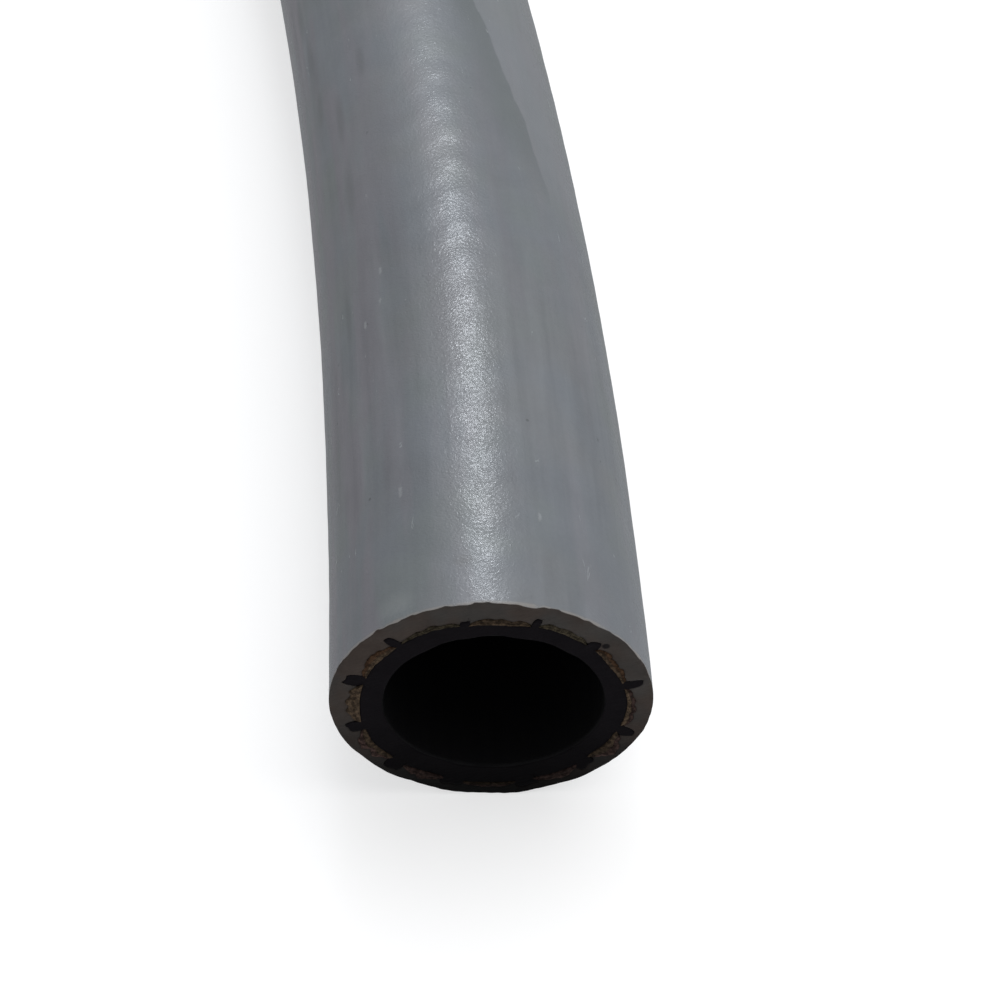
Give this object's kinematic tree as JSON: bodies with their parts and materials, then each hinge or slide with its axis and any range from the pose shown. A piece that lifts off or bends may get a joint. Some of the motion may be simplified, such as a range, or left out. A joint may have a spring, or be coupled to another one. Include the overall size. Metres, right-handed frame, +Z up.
{
  "type": "push-lock hose",
  "caption": "Length of grey rubber push-lock hose with a textile braid and a black inner tube, gently bent and cut bare at both ends; carries fuel, oil or coolant.",
  "frame": {"origin": "middle of the hose's bounding box in X and Y, on the surface that the hose lies on", "axes": "+Z up, square to the plane of the bend; +Y away from the near cut end, whose face looks along -Y; the bend carries the far end towards -X"},
  "size_m": [0.0996, 0.2974, 0.0234],
  "materials": {
    "cover_rubber": "grey synthetic rubber, satin, with the braid's faint relief, a fine scratchy skin, streaks and light scuffs",
    "braid_yarn": "tan textile yarn bundles set in black rubber, cut through at the ends",
    "tube_rubber": "black synthetic rubber, matt"
  },
  "bodies": {
    "root": {"outer_cover": "cover_rubber", "textile_braid": "braid_yarn", "inner_tube": "tube_rubber"}
  },
  "joints": []
}
